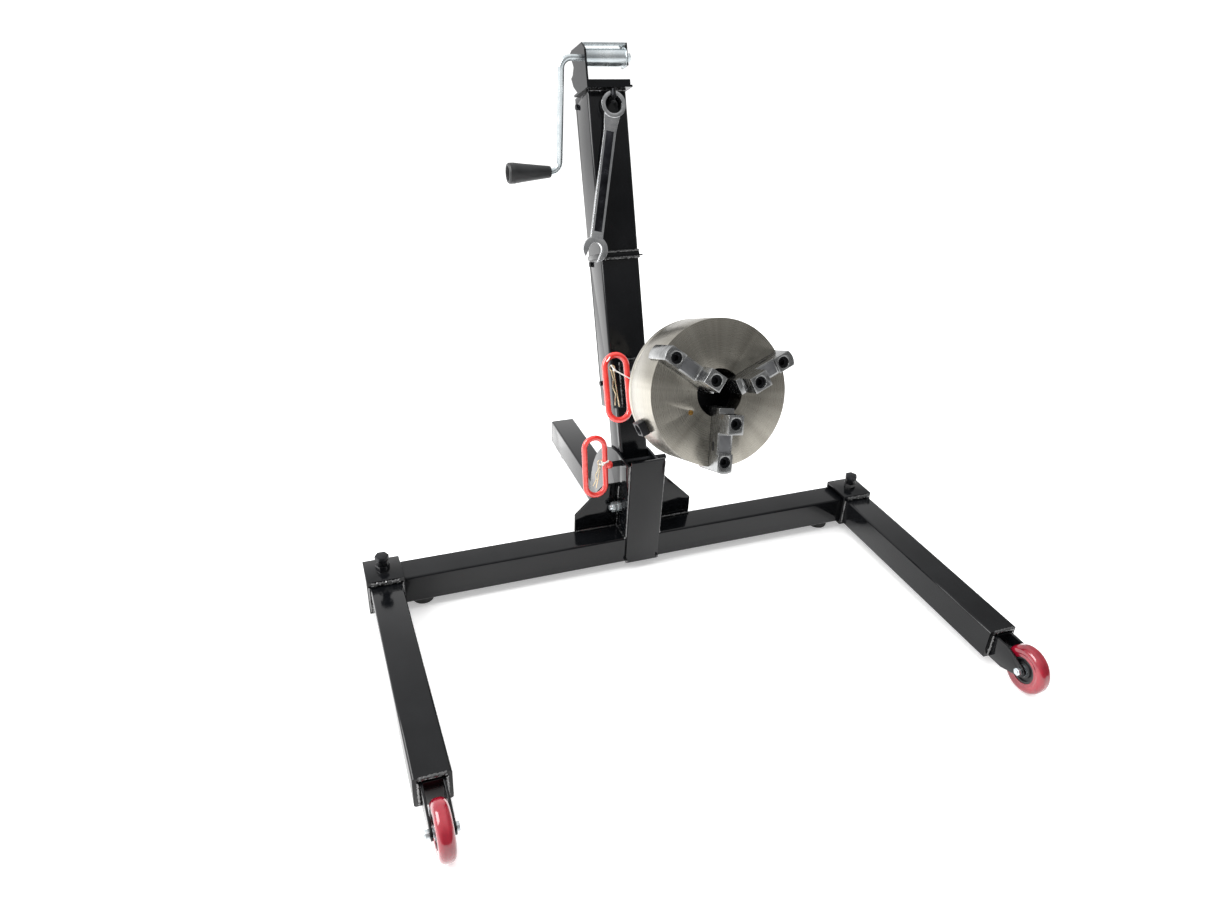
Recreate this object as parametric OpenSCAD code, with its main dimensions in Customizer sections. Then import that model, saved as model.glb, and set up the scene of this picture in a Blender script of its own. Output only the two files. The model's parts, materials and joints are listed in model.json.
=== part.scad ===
// Tilting lift stand with a scroll chuck head, for holding engines and gearboxes while they are worked on.
// X runs along the crossbeam, -Y points to the wheels at the front, +Z is up, the floor is Z = 0.

/* [Floor frame] */
// Side of the square tube of the crossbeam and legs
beam_w = 60; // [50:1:75]
// Wall of the floor frame tubes
beam_wall = 3; // [2:0.5:5]
// Height of a rubber foot, floor to beam
foot_h = 17; // [12:1:30]
// Largest diameter of a rubber foot
foot_d = 46; // [30:1:56]
// Distance of a crossbeam foot from the middle
foot_x = 456; // [300:1:465]
// Distance of each front leg from the middle
leg_x = 528; // [450:1:650]
// Crossbeam centre to the closed front end of a leg
leg_reach = 505; // [350:1:700]
// Crossbeam centre to the closed end of the rear leg
rear_reach = 515; // [400:1:700]
// Distance of the rear foot from the crossbeam centre
rear_foot_y = 455; // [200:1:460]

/* [Leg sleeves] */
// Length of a clamping sleeve along the crossbeam
sleeve_len = 70; // [50:1:90]
// Wall of a clamping sleeve and its end plate
sleeve_wall = 5; // [4:0.5:8]
// Space over the crossbeam inside a sleeve
sleeve_gap = 4; // [2:0.5:8]
// Shank diameter of a clamp bolt
clamp_d = 16; // [12:1:18]
// Length of clamp bolt standing above its nut
clamp_stand = 10; // [5:1:40]

/* [Wheels] */
// Wheel diameter
wheel_d = 90; // [70:1:110]
// Tread width
wheel_w = 26; // [20:1:32]
// Hub diameter
hub_d = 50; // [40:1:56]
// Leg end to wheel axle
axle_reach = 73; // [60:1:110]
// Axle bolt diameter
axle_d = 8; // [6:1:10]
// Thickness of a fork plate
fork_t = 4; // [3:0.5:6]

/* [Tilt bracket] */
// Thickness of the sector plates
sector_t = 5.5; // [4:0.5:8]
// Radius of the sector plates
sector_r = 165; // [150:1:200]
// Thickness of the front plate and the gussets
plate_t = 6; // [4:0.5:10]
// Top of the front plate above the floor
front_plate_top = 260; // [255:1:300]
// Pivot bolt diameter
pivot_d = 12; // [10:1:16]
// Height of the pivot above the floor
pivot_z = 133; // [131:1:150]
// How far the pivot is behind the crossbeam centre
pivot_y = 10.5; // [5:0.5:20]
// Backward lean of the mast
tilt = 21; // [10:1:25]
// Width of a gusset beyond its sector plate
gusset_w = 95; // [60:1:140]
// Height of a gusset
gusset_h = 103; // [80:1:120]

/* [Mast] */
// Side of the inner post
post_w = 60; // [54:1:62]
// Wall of the inner post
post_wall = 4; // [3:0.5:5]
// Pivot to the top of the inner post
post_top = 725; // [600:1:730]
// Side of the sliding mast tube
mast_w = 80; // [76:1:90]
// Wall of the sliding mast tube
mast_wall = 4; // [3:0.5:5]
// Pivot to the bottom of the sliding mast
mast_bottom = 207; // [195:1:230]
// Pivot to the underside of the collar
collar_z = 505; // [450:1:560]
// Thickness of the collar
collar_t = 9; // [6:1:14]
// Pivot to the top of the mast tube
mast_top = 819; // [780:1:900]

/* [Head] */
// Width of the arm
arm_w = 40; // [38:1:60]
// Height of the arm
arm_h = 93; // [80:1:110]
// Front of the mast to the front of the arm
arm_len = 294; // [200:1:400]
// Pivot to the spindle axis, along the mast
spindle_z = 261; // [250:1:270]
// Spindle diameter
spindle_d = 24; // [20:1:26]
// Front of the mast to the index pin
index_reach = 120; // [100:1:160]

/* [Chuck] */
// Chuck diameter
chuck_d = 240; // [225:1:260]
// Thickness of the chuck body
chuck_h = 83; // [78:1:95]
// Through bore of the chuck
chuck_bore = 80; // [60:1:84]
// Thickness of the back plate
backplate_h = 12; // [10:1:20]
// Turn of the first jaw from level
jaw_angle = 22; // [0:1:120]
// Width of a jaw
jaw_w = 26; // [20:1:32]
// Height of the inner jaw step above the face
jaw_step_h = 62; // [45:1:70]
// Height of the outer jaw step above the face
jaw_low_h = 33; // [30:1:40]

/* [Winch] */
// Diameter of the winch barrel
barrel_d = 32; // [26:1:36]
// Diameter of the drum flanges
flange_d = 38; // [36:1:46]
// Length of the crank arm
crank_len = 208; // [150:1:220]
// Diameter of the crank rod
crank_d = 12; // [10:1:14]
// Length of the grip
grip_len = 87; // [70:1:110]
// Diameter of the free end of the grip
grip_d = 40; // [30:1:44]

/* [Pins and wrench] */
// Diameter of the locking pins
pin_d = 12; // [10:1:13]
// Outside width of a pin handle ring
ring_w = 54; // [46:1:60]
// Outside height of a pin handle ring
ring_h = 133; // [110:1:150]
// Bar diameter of a pin handle ring
ring_bar = 11; // [8:1:12]
// Ring centre to open end centre of the wrench
wrench_len = 274; // [220:1:300]
// Lean of the hung wrench against the mast
wrench_lean = 12.8; // [5:0.1:15]

/* [Hidden] */
$fn = 64;

// Clearances
run = 0.05;          // radial clearance of a shaft that turns in its hole
slip = 0.5;          // side clearance of tube sliding in or over tube
free = 0.3;          // gap between curved faces that pass each other
proud = 1;           // how far a cut runs past the face it opens

// Places shared by several pieces
beam_top = foot_h + beam_w;
wheel_r = wheel_d / 2;
stand_y = (leg_reach + axle_reach + wheel_r - rear_reach) / 2;   // puts the origin midway, front to back
beam_end = leg_x + sleeve_len / 2 - sleeve_wall;
sleeve_front = beam_w / 2 + slip + sleeve_wall;
sleeve_top = beam_top + sleeve_gap + sleeve_wall;
hex_ratio = 2 / sqrt(3);                                          // corners over flats of a hexagon
clamp_flats = clamp_d * 1.5;
clamp_nut_h = clamp_d * 0.8;
clamp_head_h = clamp_d * 0.625;
clamp_head_z = sleeve_top + clamp_nut_h + clamp_stand;
fork_in = wheel_w / 2 + 2;                                        // half the gap between the fork plates
spacer_t = fork_in - wheel_w / 2;
bearing_d = 22;
bearing_w = 7;
plate_in = post_w / 2 + slip;                                     // inside face of a sector plate
plate_out = plate_in + sector_t;
sector_y = 30;
sector_skirt = 20;                                                // how far the ears reach down beside the rear leg
pivot_nut_h = 10;
post_drop = 25;                                                   // post below the pivot
post_front = 12;                                                  // post in front of the pivot
mast_y = post_w / 2 - post_front;                                 // mast centre line behind the pivot
mast_front = mast_y - mast_w / 2;
mast_in = mast_w - 2 * mast_wall;
liner_zs = [mast_bottom + 47, collar_z - 8, mast_top - 17];
liner_h = 30;
liner_y = mast_y + mast_w / 2 - 13;
arm_wall = 4;
arm_bottom = mast_bottom;
arm_front = mast_front - arm_len;
bush_r = arm_w / 2 - arm_wall;
bush_len = 30;
bearing_plate_t = 10;
backplate_back = arm_front - 6;
chuck_face_y = backplate_back - backplate_h - chuck_h;
slot_h = 34;                                                      // depth of the jaw slots
master_in = 22;                                                   // inner end of a jaw
jaw_len = 105;
jaw_step_len = 31;
jaw_recess_in = 42;                                               // recess between the two steps, from the inner end
jaw_recess_out = 73;
jaw_recess_h = 28;
jaw_screw_rs = [44, 108];
jaw_screw_d = 19;
pinion_block = 23;
scroll_z = slot_h + 1;
scroll_t = 9;
scroll_out = chuck_d / 2 - 22;
scroll_in = chuck_bore / 2 + 5;
pinion_z = scroll_z + scroll_t + 11;
pinion_r = 9;
pinion_in = chuck_d / 2 - 40;
frame_t = 4;
winch_front = mast_front - 19;
winch_left = -46;
winch_right = 46;
barrel_y = mast_y - 37;
barrel_z = mast_top + 58;
flange_t = 1.5;
bend_r = 18;
crank_x = -85;
grip_root_d = 23;
grip_start = crank_x - bend_r - 1;
pin_up = 94;                                                      // lock pin above the pivot
pin_y = pivot_y + (pin_up * sin(tilt) - post_front - pin_d / 2 - free) / cos(tilt);   // against the leaning post
ring_lean = 12;                                                   // the lock pin's ring clears the gusset
ball_d = 17;
lock_ball_x = -60;
lock_tip_x = 66;
index_ball_x = -43;
index_tip_x = -spindle_d / 2 - 2;
wrench_ring_r = 24.5;
wrench_hole_r = 17;
wrench_ring_t = 13;
wrench_bar_t = 8;
wrench_x = 6;
wrench_z = mast_top - 30;
hook_r = 4;
wrench_y = mast_front - 3 - wrench_ring_t / 2;

// Point where the line from p touches a circle about c, on side s
function tangent(p, c, r, s) =
    let (v = p - c, a = atan2(v[1], v[0]), b = acos(r / norm(v)))
    c + r * [cos(a + s * b), sin(a + s * b)];

module stand() {
    translate([0, stand_y, 0]) children();
}

// Frame of the leaning mast: its origin is the pivot, +Z runs up the mast
module mast() {
    stand() translate([0, pivot_y, pivot_z]) rotate([-tilt, 0, 0]) children();
}

// Frame of the chuck: +Z is out of the face, +Y is up the mast
module chuck() {
    mast() translate([0, chuck_face_y, spindle_z]) rotate([90, 0, 0]) children();
}

// Solid laid along +X from the origin
module along_x() {
    rotate([90, 0, 90]) children();
}

module round_square(w, h, r) {
    square([w - 2 * r, h], center = true);
    square([w, h - 2 * r], center = true);
    for (x = [-1, 1], y = [-1, 1])
        translate([x * (w / 2 - r), y * (h / 2 - r)]) circle(r);
}

module tube(w, h, wall, len) {
    linear_extrude(len) difference() {
        round_square(w, h, wall * 1.5);
        square([w - 2 * wall, h - 2 * wall], center = true);
    }
}

module hex(flats, h) {
    cylinder(d = flats * hex_ratio, h = h, $fn = 6);
}

// ---- Floor frame ----

module crossbeam() {
    color("#26282a") stand() translate([-beam_end, 0, foot_h + beam_w / 2]) along_x()
        tube(beam_w, beam_w, beam_wall, 2 * beam_end);
}

module rear_leg() {
    color("#26282a") stand() translate([0, 0, foot_h + beam_w / 2]) {
        translate([0, rear_reach - beam_wall, 0]) rotate([90, 0, 0])
            tube(beam_w, beam_w, beam_wall, rear_reach - beam_wall - beam_w / 2);
        translate([0, rear_reach, 0]) rotate([90, 0, 0])
            linear_extrude(beam_wall) round_square(beam_w, beam_w, beam_wall * 1.5);
    }
}

module front_plate() {
    color("#26282a") stand() translate([-plate_out, -beam_w / 2 - plate_t, foot_h])
        cube([2 * plate_out, plate_t, front_plate_top - foot_h]);
}

// Quarter disc that carries the pivot and the locking pin
module sector_plate(side) {
    color("#2b2d2f") stand() translate([side > 0 ? plate_in : -plate_out, 0, 0]) along_x() linear_extrude(sector_t)
        difference() {
            union() {
                intersection() {
                    translate([sector_y, beam_top]) circle(sector_r, $fn = 96);
                    translate([sector_y, beam_top]) square(sector_r + proud);
                }
                translate([-beam_w / 2, beam_top]) square([beam_w / 2 + sector_y, sector_r]);
                translate([beam_w / 2, beam_top - sector_skirt]) square([sector_r, sector_skirt]);
            }
            translate([pivot_y, pivot_z]) circle(pivot_d / 2 + run);
            translate([pin_y, pivot_z + pin_up]) circle(pin_d / 2 + run);
        }
}

module gussets() {
    cut = gusset_w * 0.66;
    color("#26282a") stand() for (side = [-1, 1]) scale([side, 1, 1])
        translate([plate_out, beam_w / 2, beam_top]) rotate([90, 0, 0]) linear_extrude(plate_t)
            polygon([[0, 0], [gusset_w, 0], [gusset_w, gusset_h - cut], [gusset_w - cut, gusset_h], [0, gusset_h]]);
}

module rubber_feet() {
    color("#151515") stand() for (p = [[-foot_x, 0], [foot_x, 0], [0, rear_foot_y]])
        translate([p[0], p[1], 0]) cylinder(d1 = foot_d - 4, d2 = foot_d, h = foot_h);
}

module pivot_bolt() {
    color("#b9c4cc") stand() translate([0, pivot_y, pivot_z]) {
        translate([-plate_out - 2 * pivot_nut_h - 5, 0, 0]) along_x()
            cylinder(d = pivot_d, h = 2 * plate_out + 2 * pivot_nut_h + 5);
        translate([plate_out, 0, 0]) along_x() hex(pivot_d * 1.58, 8);
        for (i = [1, 2]) translate([-plate_out - i * pivot_nut_h - (i - 1) * free, 0, 0]) along_x() difference() {
            hex(pivot_d * 1.58, pivot_nut_h);
            translate([0, 0, -proud]) cylinder(d = pivot_d + 2 * run, h = pivot_nut_h + 2 * proud);
        }
    }
}

// ---- Front legs, side = -1 left, 1 right ----

module leg(side) {
    color("#26282a") stand() translate([side * leg_x, -sleeve_front, foot_h + beam_w / 2]) rotate([90, 0, 0]) {
        tube(beam_w, beam_w, beam_wall, leg_reach - sleeve_front - beam_wall);
        translate([0, 0, leg_reach - sleeve_front - beam_wall])
            linear_extrude(beam_wall) round_square(beam_w, beam_w, beam_wall * 1.5);
    }
}

// Box over the end of the crossbeam with a nut welded on top
module leg_sleeve(side) {
    low = foot_h - sleeve_wall;
    inner = leg_x - sleeve_len / 2;
    color("#26282a") stand() scale([side, 1, 1]) difference() {
        union() {
            translate([inner, -sleeve_front, low]) cube([sleeve_len, 2 * sleeve_front, sleeve_top - low]);
            translate([leg_x, 0, sleeve_top]) hex(clamp_flats, clamp_nut_h);
        }
        translate([inner - proud, -beam_w / 2 - slip, foot_h])
            cube([sleeve_len - sleeve_wall + proud, beam_w + 2 * slip, beam_w + sleeve_gap]);
        translate([leg_x, 0, beam_top]) cylinder(d = clamp_d + 2 * run, h = clamp_head_z - beam_top);
    }
}

module clamp_bolt(side) {
    color("#2b2d2f") stand() translate([side * leg_x, 0, 0]) {
        translate([0, 0, beam_top]) cylinder(d = clamp_d, h = clamp_head_z - beam_top);
        translate([0, 0, clamp_head_z]) hex(clamp_flats, clamp_head_h);
    }
}

// Outline of a fork plate, from the leg end to the round tip at the axle
module fork_outline() {
    tip = [-leg_reach - axle_reach, wheel_r];
    tip_r = 11;
    top = [-leg_reach - 33, foot_h + beam_w - 8];
    under = [-leg_reach - 33, foot_h + 3];
    polygon([[-leg_reach, top[1]], top, tangent(top, tip, tip_r, 1), tip, tangent(under, tip, tip_r, -1),
             under, [-leg_reach, under[1]]]);
    translate(tip) circle(tip_r);
}

module fork(side) {
    out = fork_in + fork_t;
    color("#26282a") stand() translate([side * leg_x, 0, 0]) {
        for (x = [-out, fork_in]) translate([x, 0, 0]) along_x() linear_extrude(fork_t) difference() {
            fork_outline();
            translate([-leg_reach - axle_reach, wheel_r]) circle(axle_d / 2 + run);
        }
        translate([-fork_in, -leg_reach - fork_t, foot_h + 3]) cube([2 * fork_in, fork_t, beam_w - 11]);
    }
}

module at_axle(side) {
    stand() translate([side * leg_x, -leg_reach - axle_reach, wheel_r]) children();
}

module axle(side) {
    out = fork_in + fork_t;
    color("#b9c4cc") at_axle(side) {
        translate([-out - 8, 0, 0]) along_x() cylinder(d = axle_d, h = 2 * out + 8);
        translate([out, 0, 0]) along_x() hex(axle_d * 1.6, 5);
        translate([-out - 6.5, 0, 0]) along_x() hex(axle_d * 1.6, 6.5);
        for (x = [-fork_in, fork_in - spacer_t]) translate([x, 0, 0]) along_x()
            cylinder(d = axle_d + 5, h = spacer_t);
    }
}

// Tyre with a round tread, solid from the hub to the crown
module tyre(side) {
    round = wheel_w * 0.4;
    color("#d6283c") at_axle(side) along_x() rotate_extrude($fn = 96) difference() {
        union() {
            translate([hub_d / 2, -wheel_w / 2 + 1]) square([wheel_r - round - hub_d / 2, wheel_w - 2]);
            translate([wheel_r - round - 0.01, -wheel_w / 2 + round]) square([round + 0.01, wheel_w - 2 * round]);
            for (s = [-1, 1]) translate([wheel_r - round, s * (wheel_w / 2 - round)]) circle(round);
        }
        translate([-proud, -wheel_w]) square([hub_d / 2 + proud, 2 * wheel_w]);
    }
}

module hub(side) {
    color("#17181a") at_axle(side) translate([-wheel_w / 2 + 2, 0, 0]) along_x() difference() {
        cylinder(d = hub_d, h = wheel_w - 4);
        translate([0, 0, -proud]) cylinder(d = bearing_d, h = wheel_w);
        for (z = [-0.01, wheel_w - 4 - 5 + 0.01]) translate([0, 0, z]) difference() {
            cylinder(d = hub_d - 8, h = 5);
            translate([0, 0, -proud]) cylinder(d = bearing_d + 8, h = 5 + 2 * proud);
        }
    }
}

module wheel_bearings(side) {
    color("#9aa4aa") at_axle(side) for (x = [-wheel_w / 2, wheel_w / 2 - bearing_w])
        translate([x, 0, 0]) along_x() difference() {
            cylinder(d = bearing_d, h = bearing_w);
            translate([0, 0, -proud]) cylinder(d = axle_d + 2 * run, h = bearing_w + 2 * proud);
        }
}

// ---- Mast ----

// Post with a tube across its foot that keeps the pivot bolt from crushing it
module inner_post() {
    color("#2b2d2f") mast() difference() {
        union() {
            translate([0, mast_y, -post_drop]) tube(post_w, post_w, post_wall, post_top + post_drop);
            translate([-post_w / 2 + 1, 0, 0]) along_x() cylinder(d = pivot_d + 3, h = post_w - 2);
        }
        translate([-post_w, 0, 0]) along_x() cylinder(d = pivot_d + 2 * run, h = 2 * post_w);
    }
}

module mast_tube(low, high) {
    translate([0, mast_y, low]) tube(mast_w, mast_w, mast_wall, high - low);
}

module screw_holes(zs, d) {
    for (z = zs) translate([-mast_w, liner_y, z]) along_x() cylinder(d = d, h = 2 * mast_w);
}

module lower_mast() {
    color("#242628") mast() difference() {
        mast_tube(mast_bottom, collar_z);
        screw_holes([liner_zs[0], liner_zs[1]], 6);
    }
}

module upper_mast() {
    color("#242628") mast() difference() {
        mast_tube(collar_z + collar_t, mast_top);
        screw_holes([liner_zs[2]], 6);
    }
}

// Band between the two mast tubes, with a thin tongue to the right
module collar() {
    color("#2f3133") mast() difference() {
        union() {
            translate([0, mast_y, collar_z]) linear_extrude(collar_t) square(mast_w + 2, center = true);
            translate([0, mast_front - 1, collar_z]) cube([mast_w / 2 + 8, 24, 3]);
        }
        translate([-mast_in / 2, mast_y - mast_in / 2, collar_z - proud]) cube([mast_in, mast_in, collar_t + 2 * proud]);
    }
}

// Nylon guides that fill the space between post and mast
module slide_liners() {
    color("#e8e6de") mast() for (z = liner_zs) translate([0, mast_y, z - liner_h / 2]) linear_extrude(liner_h)
        difference() {
            square(mast_in, center = true);
            square(post_w + 2 * slip, center = true);
        }
}

module liner_screws() {
    color("#202224") mast() for (z = liner_zs, side = [-1, 1]) scale([side, 1, 1])
        translate([mast_w / 2 - mast_wall, liner_y, z]) along_x() {
            cylinder(d = 6, h = mast_wall);
            translate([0, 0, mast_wall]) cylinder(d = 10, h = 3);
        }
}

// ---- Head ----

// Box arm on the front of the mast, closed at the front and by a wall inside
module head_arm() {
    inner_h = arm_h - 2 * arm_wall;
    wall_y = mast_front - index_reach + 30;
    color("#26282a") mast() difference() {
        union() {
            difference() {
                translate([-arm_w / 2, arm_front, arm_bottom]) cube([arm_w, arm_len, arm_h]);
                translate([-arm_w / 2 + arm_wall, arm_front + bearing_plate_t, arm_bottom + arm_wall])
                    cube([arm_w - 2 * arm_wall, arm_len, inner_h]);
            }
            translate([-bush_r, wall_y, arm_bottom + arm_wall]) cube([2 * bush_r, bearing_plate_t, inner_h]);
        }
        translate([0, wall_y + 2 * bearing_plate_t, spindle_z]) rotate([90, 0, 0])
            cylinder(r = bush_r - 1, h = arm_len);
        translate([-arm_w, mast_front - index_reach, spindle_z]) along_x() cylinder(d = pin_d + 2 * run, h = arm_w);
    }
}

module spindle_bushes() {
    color("#b08d4a") mast() for (y = [mast_front - index_reach + 30, arm_front])
        translate([0, y + bearing_plate_t, spindle_z]) rotate([90, 0, 0]) difference() {
            cylinder(r = bush_r - 1, h = bearing_plate_t);
            translate([0, 0, -proud]) cylinder(d = spindle_d + 2 * run, h = bearing_plate_t + 2 * proud);
        }
}

module spindle() {
    rear = mast_front - index_reach + 30 + bearing_plate_t;
    color("#b7babb") mast() difference() {
        translate([0, 0, spindle_z]) rotate([90, 0, 0]) {
            translate([0, 0, -rear - 22]) cylinder(d = spindle_d, h = rear + 22 - backplate_back);
            translate([0, 0, -rear - 14]) cylinder(r = bush_r - 1, h = 13.7);
        }
        translate([-spindle_d, mast_front - index_reach, spindle_z]) along_x()
            cylinder(d = pin_d + 2 * free, h = 2 * spindle_d);
    }
}

// ---- Winch ----

// Bent plate frame: side plate on the left, saddle on the mast, strip over the drum, small plate on the right
module winch_frame() {
    top_z = barrel_z + flange_d / 2 + frame_t + 2;
    back_y = mast_y + 30;
    color("#2b2d2f") mast() difference() {
        union() {
            translate([winch_left, 0, 0]) along_x() linear_extrude(frame_t)
                polygon([[winch_front, mast_top], [winch_front, top_z - 15], [winch_front + 14, top_z],
                         [back_y - 15, top_z + 2], [back_y - 2, top_z - 3], [back_y - 9, top_z - 10],
                         [back_y - 20, top_z - 30], [back_y - 10, top_z - 43], [back_y, top_z - 46],
                         [back_y - 9, top_z - 64], [mast_y - 5, mast_top]]);
            translate([winch_left, winch_front, mast_top]) cube([winch_right - winch_left - 4, frame_t, 14]);
            translate([winch_left, winch_front, mast_top])
                cube([winch_right - winch_left, back_y - 9 - winch_front, frame_t]);
            translate([winch_left, winch_front + 12, top_z - frame_t]) cube([winch_right - winch_left, 28, frame_t]);
            translate([winch_right - frame_t, winch_front + 12, barrel_z - 16])
                cube([frame_t, 28, top_z - barrel_z + 16]);
        }
        translate([winch_left - proud, barrel_y, barrel_z]) along_x()
            cylinder(d = crank_d + 2 * run, h = winch_right - winch_left + 2 * proud);
    }
}

module winch_drum() {
    left = winch_left + frame_t + free;
    right = winch_right - frame_t - free;
    color("#c3ced4") mast() translate([0, barrel_y, barrel_z]) {
        for (x = [left, right - flange_t]) translate([x, 0, 0]) along_x() cylinder(d = flange_d, h = flange_t);
        translate([left, 0, 0]) along_x() cylinder(d = barrel_d, h = right - left);
        translate([winch_right - frame_t - free, 0, 0]) along_x() cylinder(d = crank_d, h = frame_t + 8);
        translate([winch_right + 1, 0, 0]) along_x() hex(crank_d + 3, 6);
    }
}

// Crank: shaft into the drum, bend, arm hanging straight down, bend, stub for the grip
module crank_rod() {
    left = winch_left + frame_t + free;
    color("#c3ced4") mast() translate([0, barrel_y, barrel_z]) rotate([tilt, 0, 0]) {
        translate([crank_x + bend_r, 0, 0]) along_x() cylinder(d = crank_d, h = left - crank_x - bend_r);
        translate([crank_x + bend_r, 0, -bend_r]) rotate([90, 0, 0]) rotate([0, 0, 90])
            rotate_extrude(angle = 90) translate([bend_r, 0]) circle(d = crank_d);
        translate([crank_x, 0, -crank_len + bend_r]) cylinder(d = crank_d, h = crank_len - 2 * bend_r);
        translate([crank_x - bend_r, 0, -crank_len + bend_r]) rotate([90, 0, 0]) rotate([0, 0, -90])
            rotate_extrude(angle = 90) translate([bend_r, 0]) circle(d = crank_d);
        translate([grip_start - grip_len + 12, 0, -crank_len]) along_x()
            cylinder(d = crank_d, h = grip_len - 12 - grip_start + crank_x - bend_r);
    }
}

module crank_grip() {
    color("#1c1d1f") mast() translate([0, barrel_y, barrel_z]) rotate([tilt, 0, 0])
        translate([grip_start, 0, -crank_len]) rotate([0, -90, 0]) rotate_extrude() polygon([
            [crank_d / 2 + run, 0], [grip_root_d / 2 - 1, 0], [grip_root_d / 2, 2], [grip_root_d / 2 + 1, 12],
            [grip_d / 2 - 2, grip_len - 26], [grip_d / 2, grip_len - 12], [grip_d / 2, grip_len - 3],
            [grip_d / 2 - 2, grip_len], [grip_d / 2 - 6, grip_len], [grip_d / 2 - 8, grip_len - 8],
            [crank_d / 2 + run, grip_len - 8]]);
}

// ---- Locking pins ----

// Pin along X with a ball where its ring handle is welded on
module pin_shaft(ball_x, tip_x) {
    translate([ball_x, 0, 0]) along_x() cylinder(d = pin_d, h = tip_x - ball_x - 2);
    translate([tip_x - 2, 0, 0]) along_x() cylinder(d1 = pin_d, d2 = pin_d - 4, h = 2);
}

module ring_handle(ball_x) {
    mid_w = ring_w - ring_bar;
    straight = ring_h - ring_w;
    translate([ball_x, 0, 0]) {
        along_x() rotate_extrude() difference() {
            circle(d = ball_d);
            translate([-ball_d, -ball_d]) square([ball_d, 2 * ball_d]);
            square([pin_d / 2, ball_d]);
        }
        translate([-ring_w / 2 - 3, 0, 0]) {
            for (s = [-1, 1]) translate([s * mid_w / 2, 0, -straight / 2]) cylinder(d = ring_bar, h = straight);
            for (s = [0, 1]) translate([0, 0, (1 - 2 * s) * straight / 2]) rotate([90, 180 * s, 0])
                rotate_extrude(angle = 180) translate([mid_w / 2, 0]) circle(d = ring_bar);
        }
    }
}

// Spring clip tied into the ring: two wires joined by a round bend
module ring_clip(ball_x) {
    wire = 2.4;
    lean = 8;
    low = 34;
    high = 26;
    translate([ball_x - ring_w - 3 + ring_bar + free + low * sin(lean), 0, 0]) rotate([0, lean, 0])
        translate([wire / 2, 0, 0]) {
            for (x = [0, 6]) translate([x, 0, -low]) cylinder(d = wire, h = low + high);
            translate([3, 0, high]) rotate([90, 0, 0]) rotate_extrude(angle = 180) translate([3, 0]) circle(d = wire);
        }
}

module at_lock_pin() {
    stand() translate([0, pin_y, pivot_z + pin_up]) children();
}

module at_index_pin() {
    mast() translate([0, mast_front - index_reach, spindle_z]) children();
}

module lock_pin() {
    color("#1d1e20") at_lock_pin() pin_shaft(lock_ball_x, lock_tip_x);
}

module lock_pin_ring() {
    color("#e0443a") at_lock_pin() rotate([-ring_lean, 0, 0]) ring_handle(lock_ball_x);
}

module lock_pin_clip() {
    color("#c9a860") at_lock_pin() rotate([-ring_lean, 0, 0]) ring_clip(lock_ball_x);
}

module index_pin() {
    color("#1d1e20") at_index_pin() pin_shaft(index_ball_x, index_tip_x);
}

module index_pin_ring() {
    color("#e0443a") at_index_pin() ring_handle(index_ball_x);
}

module index_pin_clip() {
    color("#c9a860") at_index_pin() ring_clip(index_ball_x);
}

// ---- Chuck ----

module chuck_body() {
    color("#b9b9b4") chuck() difference() {
        translate([0, 0, -chuck_h]) cylinder(d = chuck_d, h = chuck_h, $fn = 128);
        translate([0, 0, -chuck_h - proud]) cylinder(d = chuck_bore, h = chuck_h + 2 * proud);
        translate([-53, -25, -6]) cylinder(d = 8, h = 6 + proud);
        translate([0, 0, -scroll_z - scroll_t - free / 2]) difference() {
            cylinder(r = scroll_out + free, h = scroll_t + free);
            translate([0, 0, -proud]) cylinder(r = scroll_in - run, h = scroll_t + 2 * proud);
        }
        for (i = [0:2]) rotate([0, 0, jaw_angle + 120 * i]) {
            translate([0, -jaw_w / 2 - slip / 2, -slot_h]) cube([chuck_d, jaw_w + slip, slot_h + proud]);
            rotate([0, 0, 60]) translate([pinion_in, 0, -pinion_z]) along_x()
                cylinder(r = pinion_r + run, h = chuck_d);
        }
    }
}

module chuck_backplate() {
    color("#8e9090") chuck() translate([0, 0, -chuck_h]) {
        translate([0, 0, -1.5]) cylinder(d = chuck_d - 4, h = 1.5, $fn = 128);
        translate([0, 0, -backplate_h]) cylinder(d = chuck_d, h = backplate_h - 1.5, $fn = 128);
    }
}

module backplate_screws() {
    color("#202224") chuck() for (i = [0:5]) rotate([0, 0, 60 * i + 30])
        translate([chuck_d * 0.38, 0, -chuck_h - backplate_h - 8]) hex(13, 8);
}

module scroll_plate() {
    color("#9c9e9e") chuck() translate([0, 0, -scroll_z - scroll_t]) difference() {
        cylinder(r = scroll_out, h = scroll_t);
        translate([0, 0, -proud]) cylinder(r = scroll_in, h = scroll_t + 2 * proud);
    }
}

// Jaw: guided part in its slot, high step inside, low step outside, recess between them
module jaw(i) {
    color("#c6c8c8") chuck() rotate([0, 0, jaw_angle + 120 * i]) intersection() {
        translate([master_in, 0, 0]) difference() {
            union() {
                translate([0, -jaw_w / 2, -slot_h + 0.2]) cube([jaw_len, jaw_w, slot_h + jaw_recess_h - 0.2]);
                translate([8, -jaw_w / 2, 0]) cube([jaw_step_len, jaw_w, jaw_step_h]);
                translate([jaw_recess_out, -jaw_w / 2, 0]) cube([jaw_len - jaw_recess_out, jaw_w, jaw_low_h]);
            }
            translate([jaw_screw_rs[0] - master_in, 0, jaw_step_h - 20]) cylinder(d = jaw_screw_d, h = 30);
            translate([jaw_screw_rs[1] - master_in, 0, jaw_low_h - 20]) cylinder(d = jaw_screw_d, h = 30);
        }
        translate([master_in + jaw_len - 25, 0, -chuck_h]) {
            cylinder(r = 25, h = chuck_h + jaw_step_h + proud);
            translate([-jaw_len, -jaw_w, 0]) cube([jaw_len, 2 * jaw_w, chuck_h + jaw_step_h + proud]);
        }
    }
}

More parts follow.
